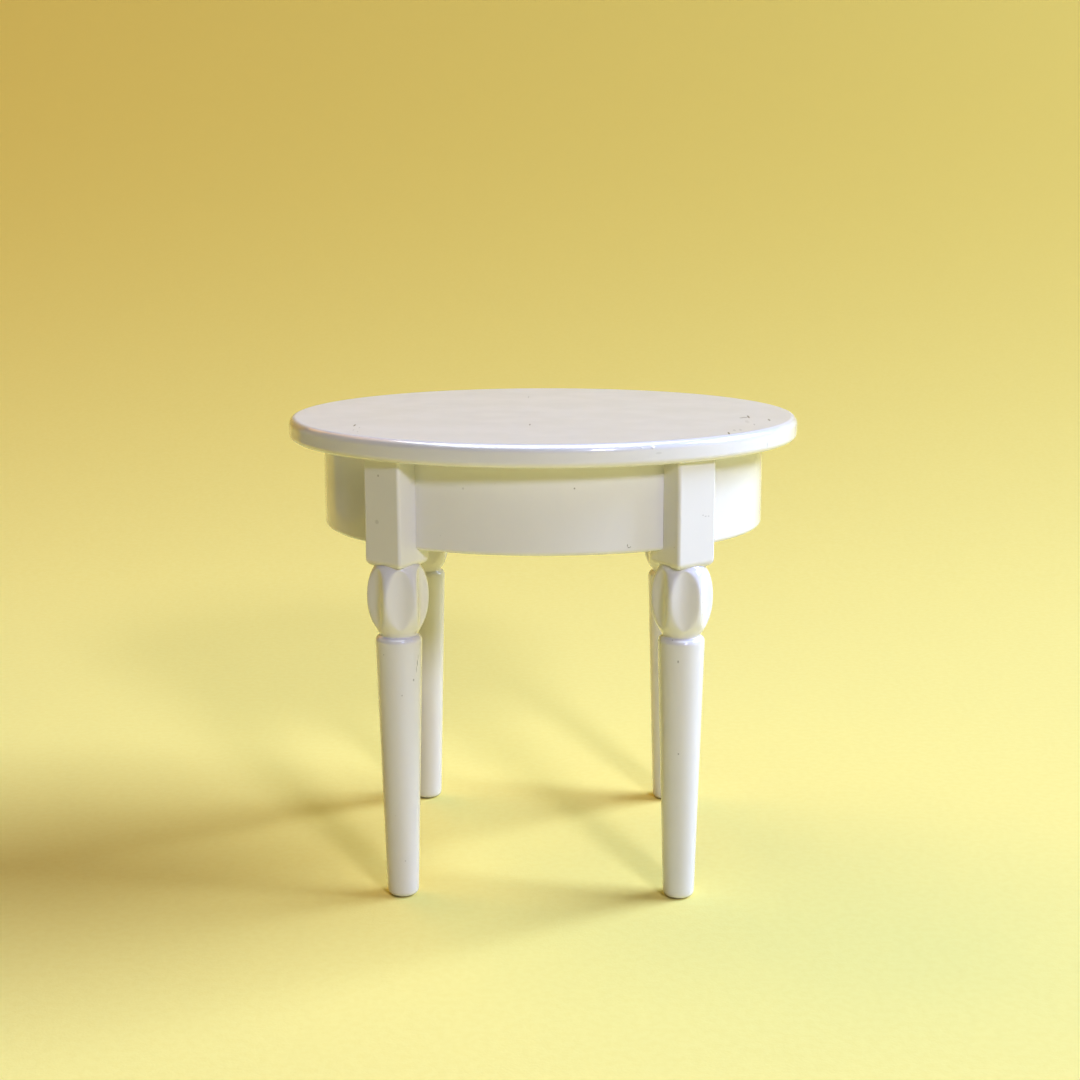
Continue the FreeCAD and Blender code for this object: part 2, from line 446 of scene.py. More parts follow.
def bulb_radius_at(z):
    """Radius of the bulb, which is a little fuller above its middle."""
    share = abs(z - BULB_MIDDLE) / BULB_HALF_HEIGHT
    fullness = BULB_FULLNESS if z > BULB_MIDDLE else 2.0
    return BULB_RADIUS * math.sqrt(1 - share ** fullness)


def cutter_distance(z):
    """Distance from the leg's axis to the cutter's, which leans in towards the top."""
    return FLUTE_FLOOR + FLUTE_CUTTER - max(0.0, z - BULB_MIDDLE) * FLUTE_LEAN


def flute_half_angle(radius, z):
    """Half the angle that a scoop takes up on a bulb of this radius."""
    distance = cutter_distance(z)
    cosine = (distance ** 2 + radius ** 2 - FLUTE_CUTTER ** 2) / (2 * distance * radius)
    return math.acos(min(1.0, cosine))


def flute_radius(angle, z):
    """Distance from the leg's axis to a scoop's surface."""
    distance = cutter_distance(z)
    across = distance * math.sin(angle)
    return distance * math.cos(angle) - math.sqrt(FLUTE_CUTTER ** 2 - across ** 2)


def taper_radius(z):
    """Radius of the plain shaft, which thins evenly towards its foot."""
    share = z / NECK_HEIGHT
    return TAPER_FOOT_RADIUS + (TAPER_TOP_RADIUS - TAPER_FOOT_RADIUS) * share


def leg_rings():
    """(radius, height) of every ring of the leg's cage, from foot to spigot."""
    foot = taper_radius(FOOT_ROUND)
    rings = [(foot - FOOT_ROUND, 0.0)]
    for step in (0.25, 0.5, 0.75, 1.0):
        angle = step * math.pi / 2
        rings.append((
            foot - FOOT_ROUND * (1 - math.sin(angle)), FOOT_ROUND * (1 - math.cos(angle))
        ))
    for z in TAPER_RINGS:
        rings.append((taper_radius(z), z))
    shoulder_z = NECK_HEIGHT - SHOULDER_ROUND
    shoulder = taper_radius(shoulder_z)
    below_shoulder = shoulder_z - SHOULDER_HOLD
    rings.append((taper_radius(below_shoulder), below_shoulder))
    for step in (0.0, 0.25, 0.5, 0.75, 1.0):
        angle = step * SHOULDER_END
        rings.append((
            shoulder - SHOULDER_ROUND * (1 - math.cos(angle)),
            shoulder_z + SHOULDER_ROUND * math.sin(angle),
        ))
    rings.append((NECK_RADIUS, NECK_HEIGHT))
    return rings


def bulb_heights():
    """Heights of the bulb's rings: below the scoops, along them, and above them."""
    below = [NECK_HEIGHT + 0.25 * MM, NECK_HEIGHT + 0.6 * MM]
    steps = (0.0, 0.05, 0.14, 0.25, 0.37, 0.5, 0.63, 0.75, 0.86, 0.95, 1.0)
    span = FLUTE_HIGH_TIP - FLUTE_LOW_TIP
    along = [FLUTE_LOW_TIP + span * step for step in steps]
    above = [FLUTE_HIGH_TIP + 0.25 * MM, BULB_CROWN]
    return below, along, above


def spigot_rings():
    """(radius, height) of the rings of the spigot, held close where it turns a corner."""
    return [
        (SPIGOT_RADIUS + 0.1 * MM, BULB_CROWN),
        (SPIGOT_RADIUS, BULB_CROWN),
        (SPIGOT_RADIUS, BULB_CROWN + 0.2 * MM),
        (SPIGOT_RADIUS, SPIGOT_TOP - 0.3 * MM),
        (SPIGOT_RADIUS, SPIGOT_TOP - 0.1 * MM),
        (SPIGOT_RADIUS - SPIGOT_TIP_ROUND, SPIGOT_TOP),
    ]


def hold_end_flat(radius, z):
    """Inset the flat end of a cage twice, so that smoothing leaves it flat."""

    def end_face(face):
        return len(face.verts) > 4 and abs(face.calc_center_median().z - z) < SAME_HEIGHT

    choose("FACE", end_face)
    bpy.ops.mesh.inset(thickness=radius * 0.12)
    bpy.ops.mesh.inset(thickness=radius * 0.5)


def make_leg():
    """Turned leg at the origin with one scoop facing -Y, as a smoothed cage."""
    below, along, above = bulb_heights()
    rings = leg_rings()
    for z in below + along + above:
        rings.append((bulb_radius_at(z), z))
    rings += spigot_rings()

    first_radius, first_z = rings[0]
    bpy.ops.mesh.primitive_circle_add(
        vertices=LEG_COLUMNS, radius=first_radius, fill_type="NGON", location=(0, 0, first_z)
    )
    leg = start("leg")
    edit(leg)
    bpy.ops.mesh.select_all(action="SELECT")
    radius, z = first_radius, first_z
    for next_radius, next_z in rings[1:]:
        radius, z = push_ring(0, 0, radius, z, next_radius, next_z)
    hold_end_flat(*rings[0])
    hold_end_flat(*rings[-1])
    bpy.ops.mesh.select_all(action="SELECT")
    bpy.ops.mesh.normals_make_consistent(inside=False)
    close()
    shape_flutes(leg, along)
    pick(leg)
    smooth = leg.modifiers.new("smooth", "SUBSURF")
    smooth.levels = LEG_SMOOTHING
    smooth.render_levels = LEG_SMOOTHING
    apply_all(leg)
    pick(leg)
    bpy.ops.object.shade_smooth()
    return leg


def shape_flutes(leg, heights):
    """Slide the cage's columns to the outline of each scoop and press the scoops in."""
    step = 2 * math.pi / LEG_COLUMNS
    edit(leg)
    tips = (heights[0], heights[-1])
    for z in heights:
        radius = bulb_radius_at(z)
        tip = z in tips
        half = FLUTE_TIP_ANGLE if tip else flute_half_angle(radius, z)
        for column in (-2, -1, 0, 1, 2):
            angle = half * column / 2
            slide = angle - column * step
            depth = radius if tip or abs(column) == 2 else flute_radius(angle, z)

            def on_column(vert, z=z, column=column):
                if abs(vert.co.z - z) > SAME_POINT:
                    return False
                turn = math.atan2(vert.co.x, -vert.co.y)
                place = turn / step - column
                near = abs(place - COLUMNS_PER_FLUTE * round(place / COLUMNS_PER_FLUTE))
                return near < 0.02

            choose("VERT", on_column)
            scale = depth / radius
            bpy.ops.transform.resize(value=(scale, scale, 1), center_override=(0, 0, z))
            if abs(slide) > 1e-6:
                bpy.ops.transform.rotate(
                    value=-slide, orient_axis="Z", center_override=(0, 0, z)
                )
    close()


def make_cleat(name, low, high):
    """Glue strip under the slab: softened lower edges, ends cut to the apron's curve."""
    cleat = box_between(name, low, high)
    edit(cleat)

    def long_foot(edge):
        a, b = edge.verts
        return level(edge, low.z) and abs(a.co.x - b.co.x) < SAME_POINT

    choose("EDGE", long_foot)
    bpy.ops.mesh.bevel(offset=CLEAT_ROUND, segments=4, profile=0.5, affect="EDGES")
    close()
    inner = oval_cylinder(
        "inner oval", APRON_HALF_LENGTH - RAIL_THICKNESS, APRON_HALF_WIDTH - RAIL_THICKNESS,
        low.z - OVERCUT, high.z + OVERCUT,
    )
    cut(cleat, inner, "INTERSECT")
    for x, y in PIN_PLACES:
        if low.x < x < high.x:
            hole = upright_cylinder(
                "hole", PIN_RADIUS, low.z - OVERCUT, high.z + OVERCUT, x, y, PIN_STEPS
            )
            cut(cleat, hole)
    soften(cleat)
    return cleat


def make_pin(x, y):
    """One brass pin, turned up from a disc, with a domed head below."""
    low, high = PIN_LOW.z, PIN_HIGH.z
    radius, z = PIN_HEAD_RADIUS * PIN_HEAD_CROWN, low
    bpy.ops.mesh.primitive_circle_add(
        vertices=PIN_HEAD_STEPS, radius=radius, fill_type="NGON", location=(x, y, low)
    )
    pin = start("pin")
    edit(pin)
    bpy.ops.mesh.select_all(action="SELECT")
    for share, rise in PIN_HEAD_PROFILE:
        next_radius, next_z = PIN_HEAD_RADIUS * share, low + PIN_HEAD_HEIGHT * rise
        radius, z = push_ring(x, y, radius, z, next_radius, next_z)
    radius, z = push_ring(x, y, radius, z, PIN_RADIUS, low + PIN_HEAD_HEIGHT)
    radius, z = push_ring(x, y, radius, z, PIN_RADIUS, high - PIN_TIP)
    push_ring(x, y, radius, z, PIN_RADIUS * 0.3, high)
    bpy.ops.mesh.select_all(action="SELECT")
    bpy.ops.mesh.normals_make_consistent(inside=False)
    close()
    return pin


def make_pins():
    """The four pins as one piece."""
    pins = [make_pin(x, y) for x, y in PIN_PLACES]
    pick_none()
    for pin in pins:
        pin.select_set(True)
    bpy.context.view_layer.objects.active = pins[0]
    bpy.ops.object.join()
    pins[0].name = "cleat_pins_brass"
    pins[0].data.name = "cleat_pins_brass"
    soften(pins[0], PIN_SMOOTH_ANGLE)
    return pins[0]


# ------------------------------------------------------------------- materials

# Marks in the lacquer, in millimetres: place, half sizes, and how dark each is.
TOP_MARKS = [
    ((27.0, -4.7, 62.5), (0.28, 0.42, 0.3), 0.45),
    ((27.5, -4.25, 62.5), (0.45, 0.48, 0.3), 0.5),
    ((28.05, -3.6, 62.5), (0.16, 1.5, 0.3), 0.7),
    ((30.56, -6.69, 62.5), (0.17, 1.05, 0.3), 0.65),
    ((28.19, -11.11, 62.5), (0.1, 0.75, 0.3), 0.4),
    ((27.47, -8.35, 62.5), (0.3, 1.5, 0.3), 0.14),
    ((24.23, -19.07, 62.5), (0.15, 1.02, 0.3), 0.8),
    ((25.15, -16.47, 62.5), (0.2, 0.9, 0.3), 0.2),
    ((25.97, -16.02, 62.5), (0.2, 0.9, 0.3), 0.2),
    ((-24.62, -12.04, 62.5), (0.14, 1.02, 0.3), 0.7),
    ((-23.71, -14.18, 62.5), (0.08, 0.6, 0.3), 0.3),
    ((-24.24, -16.39, 62.5), (0.07, 0.6, 0.3), 0.3),
    ((-23.53, -17.83, 62.5), (0.07, 0.6, 0.3), 0.25),
    ((-1.45, -11.3, 62.5), (0.11, 0.84, 0.3), 0.6),
    ((-2.53, 17.82, 62.5), (0.1, 1.5, 0.3), 0.25),
    ((15.03, -26.64, 61.11), (0.5, 0.3, 0.16), 0.12),
    ((29.47, -15.91, 60.5), (0.07, 0.07, 0.38), 0.5),
    ((-5.32, -29.16, 62.04), (0.09, 0.09, 0.09), 0.5),
]
RAIL_MARKS = [
    ((4.55, -24.52, 56.26), (0.12, 0.12, 0.12), 0.6),
    ((-9.58, -23.53, 56.06), (0.16, 0.16, 0.16), 0.2),
    ((11.3, -23.0, 48.62), (0.06, 0.1, 0.2), 0.6),
    ((11.46, -22.95, 48.34), (0.2, 0.1, 0.06), 0.7),
    ((11.7, -22.88, 48.42), (0.06, 0.1, 0.1), 0.5),
    ((-12.6, -22.57, 49.8), (0.05, 0.05, 0.05), 0.3),
]
BLOCK_MARKS = [
    ((20.95, -21.54, 52.3), (0.14, 0.14, 0.07), 0.35),
    ((21.3, -21.3, 52.12), (0.2, 0.2, 0.05), 0.4),
    ((21.7, -21.02, 52.08), (0.14, 0.14, 0.07), 0.35),
    ((22.62, -20.39, 56.4), (0.12, 0.2, 0.2), 0.4),
    ((22.62, -20.38, 55.75), (0.1, 0.15, 0.12), 0.35),
    ((-20.52, -21.85, 57.41), (0.16, 0.16, 0.16), 0.4),
    ((-20.83, -21.63, 51.36), (0.34, 0.34, 0.3), 0.16),
]
LEG_MARKS = [
    ((-15.86, -21.08, 33.3), (0.06, 0.1, 0.4), 0.3),
    ((-15.96, -21.2, 32.5), (0.06, 0.1, 0.5), 0.6),
    ((-16.08, -21.33, 31.7), (0.05, 0.1, 0.5), 0.4),
    ((-16.44, -21.7, 30.36), (0.12, 0.12, 0.18), 0.45),
    ((-17.92, -22.43, 28.45), (0.1, 0.1, 0.12), 0.3),
    ((-20.26, -22.07, 33.85), (0.1, 0.1, 0.1), 0.3),
    ((17.94, -22.57, 33.18), (0.1, 0.1, 0.2), 0.5),
    ((17.2, -21.9, 35.85), (0.08, 0.2, 0.14), 0.45),
    ((18.15, -22.25, 20.61), (0.12, 0.12, 0.12), 0.45),
]
# Raised nibs where dust dried into the last coat: place and radius.
TOP_NIBS = [
    ((14.32, -26.92, 61.86), 0.3),
    ((12.9, -27.4, 61.9), 0.16),
    ((-17.0, -25.2, 61.9), 0.14),
]
LEG_NIBS = [
    ((-17.6, -22.1, 35.7), 0.22),
    ((18.9, -22.2, 35.6), 0.15),
]


class Recipe:
    """A node material that reads Object coordinates, and small helpers to wire it."""

    def __init__(self, name):
        self.material = bpy.data.materials.new(name)
        self.material.use_nodes = True
        self.nodes = self.material.node_tree.nodes
        self.links = self.material.node_tree.links
        self.shader = self.nodes["Principled BSDF"]
        self.place = self.nodes.new("ShaderNodeTexCoord").outputs["Object"]

    def fixed(self, **values):
        """Set plain values on the shader."""
        for socket, value in values.items():
            self.shader.inputs[socket.replace("_", " ")].default_value = value

    def feed(self, output, socket):
        """Wire an output into the shader."""
        self.links.new(output, self.shader.inputs[socket])

    def math(self, operation, a, b=None, c=None, clamp=False):
        """One step of arithmetic on up to three values."""
        node = self.nodes.new("ShaderNodeMath")
        node.operation = operation
        node.use_clamp = clamp
        for socket, value in zip(node.inputs, (a, b, c)):
            self.give(socket, value)
        return node.outputs[0]

    def vector(self, operation, a, b=None):
        """One step of arithmetic on vectors."""
        node = self.nodes.new("ShaderNodeVectorMath")
        node.operation = operation
        self.give(node.inputs[0], a)
        self.give(node.inputs[1], b)
        return node.outputs["Value" if operation in ("LENGTH", "DISTANCE") else "Vector"]

    def give(self, socket, value):
        """Set a socket to a number, or wire an output into it."""
        if value is None:
            return
        if hasattr(value, "is_linked"):
            self.links.new(value, socket)
        else:
            socket.default_value = value

    def noise(self, scale, detail, stretch=None, shift=(0, 0, 0)):
        """Soft cloudy noise, 0 to 1, at so many cells to the metre."""
        where = self.vector("ADD", self.place, shift)
        if stretch:
            where = self.vector("MULTIPLY", where, stretch)
        node = self.nodes.new("ShaderNodeTexNoise")
        self.give(node.inputs["Vector"], where)
        node.inputs["Scale"].default_value = scale
        node.inputs["Detail"].default_value = detail
        return node.outputs["Fac"]

    def dots(self, scale):
        """Distance to the nearest of many scattered points, in cells."""
        node = self.nodes.new("ShaderNodeTexVoronoi")
        self.give(node.inputs["Vector"], self.place)
        node.inputs["Scale"].default_value = scale
        return node.outputs["Distance"]

    def ramp(self, value, low, high, out_low=0.0, out_high=1.0):
        """Map one range of a value smoothly to another."""
        node = self.nodes.new("ShaderNodeMapRange")
        node.interpolation_type = "SMOOTHSTEP"
        for name, number in (("Value", value), ("From Min", low), ("From Max", high),
                             ("To Min", out_low), ("To Max", out_high)):
            self.give(node.inputs[name], number)
        return node.outputs["Result"]

    def blend(self, share, first, second):
        """Mix two colours."""
        node = self.nodes.new("ShaderNodeMix")
        node.data_type = "RGBA"
        self.give(node.inputs["Factor"], share)
        # Of this node's inputs, 6 and 7 are the pair of colours.
        self.give(node.inputs[6], first)
        self.give(node.inputs[7], second)
        return node.outputs[2]

    def bump(self, height, distance):
        """Turn a height into a slight relief, so many metres deep."""
        node = self.nodes.new("ShaderNodeBump")
        self.give(node.inputs["Height"], height)
        node.inputs["Distance"].default_value = distance
        node.inputs["Strength"].default_value = 1.0
        return node.outputs["Normal"]


def mark_cover(recipe, marks):
    """How strongly the dark marks cover each spot, 0 to 1."""
    total = None
    for middle, half_sizes, darkness in marks:
        offset = recipe.vector("SUBTRACT", recipe.place, tuple(c * MM for c in middle))
        scaled = recipe.vector("MULTIPLY", offset, tuple(1 / (h * MM) for h in half_sizes))
        cover = recipe.ramp(recipe.vector("LENGTH", scaled), 1.25, 0.55, 0.0, darkness)
        total = cover if total is None else recipe.math("MAXIMUM", total, cover)
    return total


def nib_height(recipe, nibs):
    """Height of the raised nibs, 0 to 1."""
    total = None
    for middle, radius in nibs:
        away = recipe.vector("DISTANCE", recipe.place, tuple(c * MM for c in middle))
        height = recipe.ramp(away, radius * MM, radius * MM * 0.2)
        total = height if total is None else recipe.math("MAXIMUM", total, height)
    return total


WHITE = (0.815, 0.80, 0.765, 1)
CREAM = (0.79, 0.77, 0.715, 1)
GRIME = (0.16, 0.14, 0.11, 1)
FOOT_DIRT = (0.42, 0.38, 0.30, 1)
PEEL_DEPTH = 0.0013 * MM
NIB_RISE = 40.0
PEBBLE_RISE = 4.0


def dry_spray(recipe, part):
    """1 inside the apron and under the slab, which only caught the overspray."""
    across = recipe.math("DIVIDE", part.outputs["X"], APRON_HALF_LENGTH)
    along = recipe.math("DIVIDE", part.outputs["Y"], APRON_HALF_WIDTH)
    reach = recipe.math("SQRT", recipe.math(
        "ADD", recipe.math("MULTIPLY", across, across), recipe.math("MULTIPLY", along, along)
    ))
    inside = recipe.ramp(reach, 0.965, 0.935)
    below = recipe.ramp(part.outputs["Z"], UNDERSIDE + 0.25 * MM, UNDERSIDE + 0.05 * MM)
    above_legs = recipe.ramp(part.outputs["Z"], BLOCK_FOOT, BLOCK_FOOT + 0.4 * MM)
    return recipe.math("MULTIPLY", recipe.math("MULTIPLY", inside, below), above_legs)


def dust_and_marks(recipe, marks):
    """How dark each spot is with fine dust and with the marks."""
    fine = recipe.ramp(recipe.dots(420), 0.045, 0.015)
    sparse = recipe.ramp(recipe.noise(310, 0, shift=(0.3, 0.1, 0.7)), 0.6, 0.66)
    specks = recipe.math("MULTIPLY", recipe.math("MULTIPLY", fine, sparse), 0.45)
    if marks:
        specks = recipe.math("MAXIMUM", specks, mark_cover(recipe, marks))
    return specks


def lacquer_colour(recipe, part, dry, specks):
    """Two whites that drift into each other, then specks, then rubbed dirt on the feet."""
    drift = recipe.ramp(recipe.noise(70, 3), 0.35, 0.68, 0.0, 0.2)
    colour = recipe.blend(drift, WHITE, CREAM)
    colour = recipe.blend(recipe.math("MULTIPLY", dry, 0.35), colour, CREAM)
    colour = recipe.blend(specks, colour, GRIME)
    foot = recipe.ramp(part.outputs["Z"], 0.32 * MM, 0.05 * MM)
    rubbed = recipe.ramp(recipe.noise(900, 3), 0.42, 0.62)
    return recipe.blend(recipe.math("MULTIPLY", foot, rubbed), colour, FOOT_DIRT)


def lacquer_roughness(recipe, dry, specks):
    """A little uneven, a touch duller on marks, and dull where the spray was dry."""
    rough = recipe.ramp(recipe.noise(160, 3, shift=(0.9, 0.4, 0.2)), 0.3, 0.7, 0.19, 0.225)
    rough = recipe.math("ADD", rough, recipe.math("MULTIPLY", specks, 0.05))
    return recipe.math("ADD", rough, recipe.math("MULTIPLY", dry, 0.25), clamp=True)


def lacquer_relief(recipe, dry, specks, nibs):
    """Orange peel, tiny nibs, pebbled overspray, and marks pressed in."""
    peel = recipe.noise(420, 1)
    nib_spots = recipe.ramp(recipe.dots(330), 0.05, 0.012)
    nib_choice = recipe.ramp(recipe.noise(230, 0, shift=(0.5, 0.8, 0.1)), 0.6, 0.64)
    small_nibs = recipe.math("MULTIPLY", nib_spots, nib_choice)
    height = recipe.math("MULTIPLY_ADD", small_nibs, 2.5, peel)
    pebble = recipe.math("MULTIPLY", recipe.noise(3600, 2), dry)
    height = recipe.math("MULTIPLY_ADD", pebble, PEBBLE_RISE, height)
    if nibs:
        height = recipe.math("MULTIPLY_ADD", nib_height(recipe, nibs), NIB_RISE, height)
    height = recipe.math("MULTIPLY_ADD", specks, -1.0, height)
    return recipe.bump(height, PEEL_DEPTH)


def glossy_white(name, marks=(), nibs=()):
    """Sprayed gloss lacquer over the whole of a piece."""
    recipe = Recipe(name)
    recipe.fixed(Coat_Roughness=0.045, Coat_IOR=1.5, Specular_IOR_Level=0.2)
    part = recipe.nodes.new("ShaderNodeSeparateXYZ")
    recipe.links.new(recipe.place, part.inputs[0])
    dry = dry_spray(recipe, part)
    specks = dust_and_marks(recipe, marks)
    recipe.feed(lacquer_colour(recipe, part, dry, specks), "Base Color")
    recipe.feed(lacquer_roughness(recipe, dry, specks), "Roughness")

    # The flat of the top was rubbed down, so it has hardly any coat left.
    flat = recipe.ramp(part.outputs["Z"], HEIGHT - 0.2 * MM, HEIGHT - 0.02 * MM)
    recipe.feed(recipe.math("MULTIPLY_ADD", flat, -0.85, 1.0), "Coat Weight")

    normal = lacquer_relief(recipe, dry, specks, nibs)
    recipe.feed(normal, "Normal")
    recipe.feed(normal, "Coat Normal")
    return recipe.material


BIRCH_LIGHT = (0.66, 0.50, 0.32, 1)
BIRCH_DARK = (0.49, 0.34, 0.19, 1)
BRASS_BRIGHT = (0.80, 0.60, 0.29, 1)
BRASS_TARNISHED = (0.50, 0.35, 0.17, 1)


def birch(name):
    """Bare birch, with fine upright grain."""
    recipe = Recipe(name)
    recipe.fixed(Specular_IOR_Level=0.25)
    grain = recipe.noise(2600, 4, stretch=(1, 1, 0.06))
    rings = recipe.noise(500, 2, stretch=(1, 1, 0.1), shift=(0.2, 0.6, 0.1))
    share = recipe.math("MULTIPLY_ADD", rings, 0.5, recipe.math("MULTIPLY", grain, 0.5))
    recipe.feed(recipe.blend(share, BIRCH_LIGHT, BIRCH_DARK), "Base Color")
    recipe.feed(recipe.ramp(grain, 0.3, 0.7, 0.5, 0.75), "Roughness")
    recipe.feed(recipe.bump(grain, 0.01 * MM), "Normal")
    return recipe.material


def pin_brass(name):
    """Drawn brass, a little tarnished, with fine tool marks."""
    recipe = Recipe(name)
    recipe.fixed(Metallic=1.0)
    tarnish = recipe.ramp(recipe.noise(1400, 4), 0.4, 0.7)
    recipe.feed(recipe.blend(tarnish, BRASS_BRIGHT, BRASS_TARNISHED), "Base Color")
    recipe.feed(recipe.ramp(tarnish, 0.0, 1.0, 0.22, 0.48), "Roughness")
    recipe.feed(recipe.bump(recipe.noise(9000, 2), 0.002 * MM), "Normal")
    return recipe.material


PAPER = (0.90, 0.805, 0.30, 1)
PAPER_DEEP = (0.89, 0.79, 0.29, 1)
# Painted shade: the paper goes darker and more saturated up the wall, standing in for the falloff
# and yellow bounce of the light there.
PAPER_WALL_SHADE = (0.75, 0.59, 0.15, 1)


def pale_paper(name):
    """Smooth matt paper with a faint tooth, with painted shade deepening its colour towards the
    back and up the wall.
    """
    recipe = Recipe(name)
    recipe.fixed(Specular_IOR_Level=0.2)
    fibre = recipe.noise(900, 4)
    part = recipe.nodes.new("ShaderNodeSeparateXYZ")
    recipe.links.new(recipe.place, part.inputs[0])
    # Painted shade: blends the paper towards the darker wall colour from y 0.05 back and up the
    # wall.
    deep = recipe.ramp(part.outputs["Y"], 0.05, 0.55)
    sheet = recipe.blend(recipe.ramp(fibre, 0.3, 0.7), PAPER, PAPER_DEEP)
    recipe.feed(recipe.blend(deep, sheet, PAPER_WALL_SHADE), "Base Color")
    recipe.feed(recipe.ramp(fibre, 0.3, 0.7, 0.72, 0.85), "Roughness")
    recipe.feed(recipe.bump(recipe.noise(2500, 3), 0.02 * MM), "Normal")
    return recipe.material


# --------------------------------------------------------------- the real piece

def finish_piece(piece, node, material):
    """Give a piece its finish and let it stand for its node."""
    piece.data.materials.clear()
    piece.data.materials.append(material)
    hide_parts(node)
    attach(piece, "root")


RAIL_ENDS = {
    "front": ((-1, -1, 1), (1, -1, -1)),
    "right": ((1, -1, 1), (1, 1, -1)),
    "back": ((1, 1, 1), (-1, 1, -1)),
    "left": ((-1, 1, 1), (-1, -1, -1)),
}


def build_table():
    """Model every part of the table and give it its finish."""
    slab_white = glossy_white("white_lacquer_on_slab", TOP_MARKS, TOP_NIBS)
    rail_white = glossy_white("white_lacquer_on_rails", RAIL_MARKS)
    block_white = glossy_white("white_lacquer_on_blocks", BLOCK_MARKS)
    leg_white = glossy_white("white_lacquer_on_legs", LEG_MARKS, LEG_NIBS)

    finish_piece(make_table_top(), "table_top", slab_white)
    ring = make_apron_ring()
    for side, ends in RAIL_ENDS.items():
        finish_piece(make_rail(ring, "apron_rail_" + side, ends), "apron_" + side, rail_white)
    bpy.data.objects.remove(ring)

    block = make_corner_block()
    leg = make_leg()
    for corner, side_x, side_y, flute_turn in CORNERS:
        x, y, turn = corner_place(side_x, side_y)
        piece = turn_and_place(copy_of(block, "leg_block_" + corner), turn, x, y)
        finish_piece(piece, "corner_block_" + corner, block_white)
        turn = math.radians(flute_turn)
        piece = turn_and_place(copy_of(leg, "turned_leg_" + corner), turn, x, y)
        finish_piece(piece, "leg_" + corner, leg_white)
    bpy.data.objects.remove(block)
    bpy.data.objects.remove(leg)

    for side in ("left", "right"):
        low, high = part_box("top_cleat_" + side)
        finish_piece(make_cleat("glue_cleat_" + side, low, high), "top_cleat_" + side, rail_white)
    finish_piece(make_pins(), "cleat_pins", pin_brass("drawn_brass"))
    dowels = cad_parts["block_dowels"]
    dowels.material_slots[0].material = birch("bare_birch")


# ------------------------------------------------------------------- the studio

SWEEP_WIDTH = 2.4
SWEEP_FLOOR = 1.7
SWEEP_START = 0.16
SWEEP_RADIUS = 0.62
SWEEP_TURN = math.radians(75)
SWEEP_STEPS = 20

CARD_WIDTH = 0.2
CARD_HEIGHT = 0.3
CARD_TURN = math.radians(-70)
CARD_MIDDLE = (-0.266, 0.0735, 0.15)
CARD_GREY = (0.30, 0.30, 0.27, 1)


def make_sweep():
    """Paper sweep: a flat floor that curves up into a wall behind."""
    bpy.ops.mesh.primitive_plane_add(size=1, location=(0, 0, 0))
    sweep = start("paper_sweep")
    edit(sweep)
    bpy.ops.mesh.select_all(action="SELECT")
    bpy.ops.transform.resize(value=(SWEEP_WIDTH, SWEEP_FLOOR, 1), center_override=(0, 0, 0))
    bpy.ops.transform.translate(value=(0, SWEEP_START - SWEEP_FLOOR / 2, 0))
    choose("EDGE", lambda e: all(v.co.y > SWEEP_START - 0.01 for v in e.verts))
    for step in range(SWEEP_STEPS):
        first = SWEEP_TURN * step / SWEEP_STEPS
        second = SWEEP_TURN * (step + 1) / SWEEP_STEPS
        forward = SWEEP_RADIUS * (math.sin(second) - math.sin(first))
        rise = SWEEP_RADIUS * (math.cos(first) - math.cos(second))
        bpy.ops.mesh.extrude_region_move(TRANSFORM_OT_translate={"value": (0, forward, rise)})
    bpy.ops.mesh.select_all(action="SELECT")
    bpy.ops.mesh.normals_make_consistent(inside=True)
    close()
    pick(sweep)
    bpy.ops.object.shade_smooth()
    sweep.data.materials.append(pale_paper("straw_paper"))


def make_grey_card():
    """A grey card standing out of view on the left, seen only in the gloss."""
    bpy.ops.mesh.primitive_plane_add(size=1, location=(0, 0, 0))
    card = start("grey_card")
    edit(card)
    bpy.ops.mesh.select_all(action="SELECT")
    bpy.ops.transform.resize(value=(CARD_WIDTH, CARD_HEIGHT, 1), center_override=(0, 0, 0))
    bpy.ops.transform.rotate(value=math.pi / 2, orient_axis="X", center_override=(0, 0, 0))
    bpy.ops.transform.rotate(value=CARD_TURN, orient_axis="Z", center_override=(0, 0, 0))
    bpy.ops.transform.translate(value=CARD_MIDDLE)
    close()
    grey = Recipe("grey_card_paper")
    grey.fixed(Base_Color=CARD_GREY, Roughness=0.8)
    card.data.materials.append(grey.material)
    card.visible_camera = False
    card.visible_diffuse = False
    card.visible_shadow = False


LAMP_AIM = Vector((0, 0, 0.04))


def soft_lamp(name, azimuth, elevation, distance, size, power, colour, gloss_only=False):
    """A soft lamp aimed at the table, by the direction that it shines from."""
    bpy.ops.object.light_add(type="AREA")
    lamp = bpy.context.object
    lamp.name = name
    a, e = math.radians(azimuth), math.radians(elevation)
    way = Vector((math.cos(a) * math.cos(e), math.sin(a) * math.cos(e), math.sin(e)))
    lamp.location = LAMP_AIM + way * distance
    lamp.rotation_euler = way.to_track_quat("Z", "Y").to_euler()
    lamp.data.shape = "RECTANGLE"
    lamp.data.size, lamp.data.size_y = size
    lamp.data.energy = power
    lamp.data.color = colour
    if gloss_only:
        lamp.visible_diffuse = False


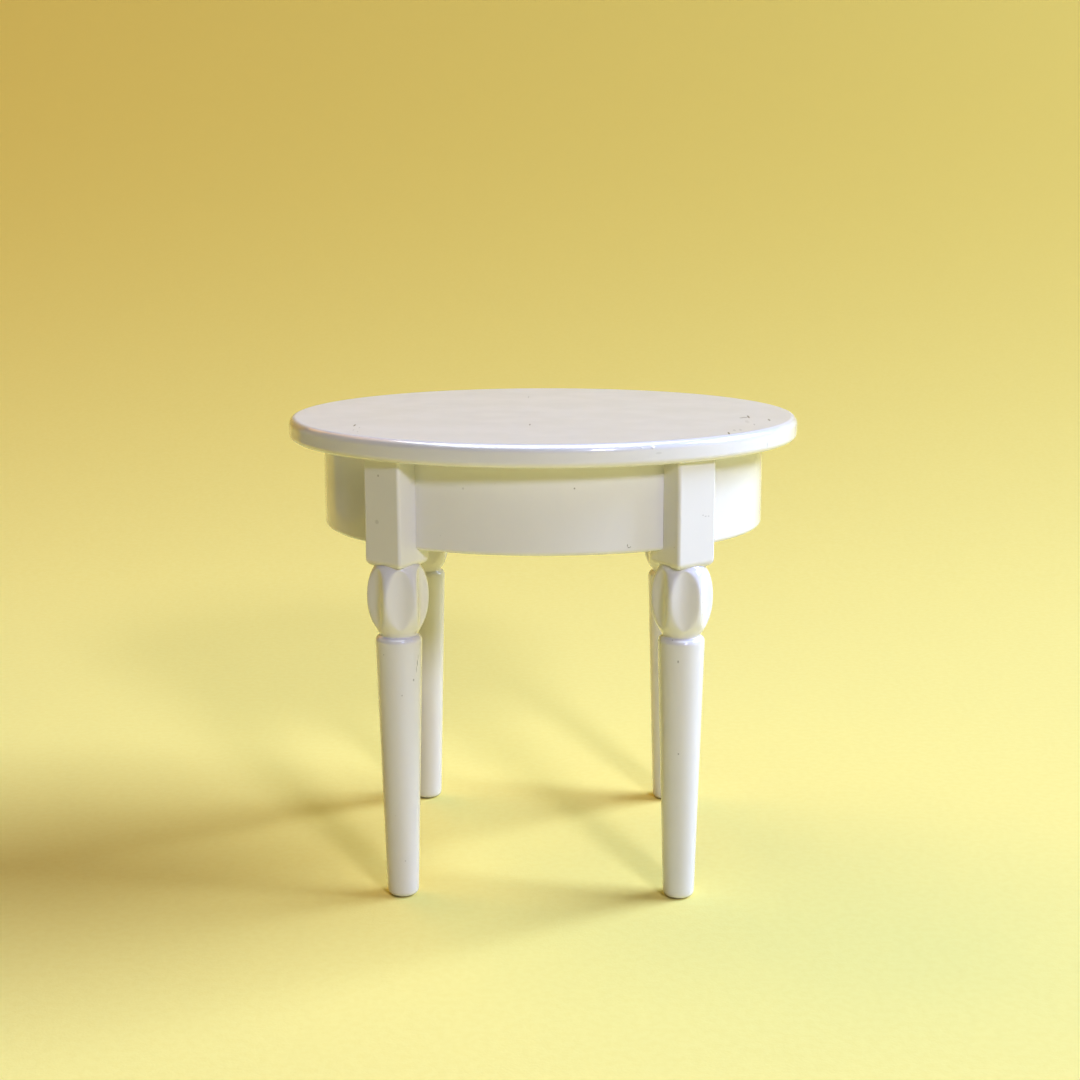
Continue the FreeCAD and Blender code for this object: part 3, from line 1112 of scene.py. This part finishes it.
# Name, azimuth and elevation in degrees, distance, size, power, colour.
LAMPS = [
    ("window_right", 10, 38, 1.8, (1.2, 0.75), 56.0, (0.54, 0.66, 1.0)),
    ("lamp_front_right", -66, 28, 0.6, (0.08, 0.08), 1.75, (0.61, 0.63, 1.0)),
    ("window_low_right", -20, 14, 1.2, (0.6, 0.45), 0.5, (1.0, 0.67, 0.42)),
    ("soft_above", 180, 70, 1.2, (1.0, 1.0), 2.5, (0.88, 0.98, 0.80)),
    ("fill_front", -90, 45, 1.2, (0.9, 0.8), 0.2, (1.0, 0.5, 0.02)),
    ("fill_back_left", 140, 45, 1.2, (0.9, 0.8), 3.9, (1.0, 0.52, 0.07)),
]

# Lights that only the gloss sees. The ceiling's last value says so.
CEILING = ("bright_ceiling", -90, 88, 0.7, (0.74, 0.74), 12.0, (0.88, 0.94, 1.0), True)
ROOM = (0.72, 0.74, 0.80, 1)
ROOM_STRENGTH = 0.35

# A display gamma under 1 deepens the middle tones.
VIEW_GAMMA = 0.8


def light_scene():
    """Put the lamps up, and let the room be seen in the gloss alone."""
    for lamp in LAMPS:
        soft_lamp(*lamp)
    soft_lamp(*CEILING)
    world = bpy.data.worlds.new("room")
    bpy.context.scene.world = world
    world.use_nodes = True
    background = world.node_tree.nodes["Background"]
    background.inputs["Color"].default_value = ROOM
    background.inputs["Strength"].default_value = ROOM_STRENGTH
    world.cycles_visibility.diffuse = False
    bpy.context.scene.view_settings.view_transform = "Standard"
    bpy.context.scene.view_settings.gamma = VIEW_GAMMA


CAMERA_PLACE = Vector((6.075, -253.5, 96.69)) * MM
CAMERA_HEADING = math.radians(1.474)
CAMERA_PITCH = math.radians(90 - 11.61)
CAMERA_ROLL = math.radians(-0.18)
CAMERA_LENS = 61.52
CAMERA_SENSOR = 36
CAMERA_NEAREST = 0.01


def make_camera():
    """The camera: a little right of the middle, looking slightly down."""
    data = bpy.data.cameras.new("camera")
    camera = bpy.data.objects.new("camera", data)
    bpy.context.scene.collection.objects.link(camera)
    data.sensor_width = CAMERA_SENSOR
    data.lens = CAMERA_LENS
    data.clip_start = CAMERA_NEAREST
    heading = Matrix.Rotation(CAMERA_HEADING, 4, "Z")
    pitch = Matrix.Rotation(CAMERA_PITCH, 4, "X")
    roll = Matrix.Rotation(CAMERA_ROLL, 4, "Z")
    camera.matrix_world = Matrix.Translation(CAMERA_PLACE) @ heading @ pitch @ roll
    bpy.context.scene.camera = camera


build_table()
make_sweep()
make_grey_card()
light_scene()
make_camera()
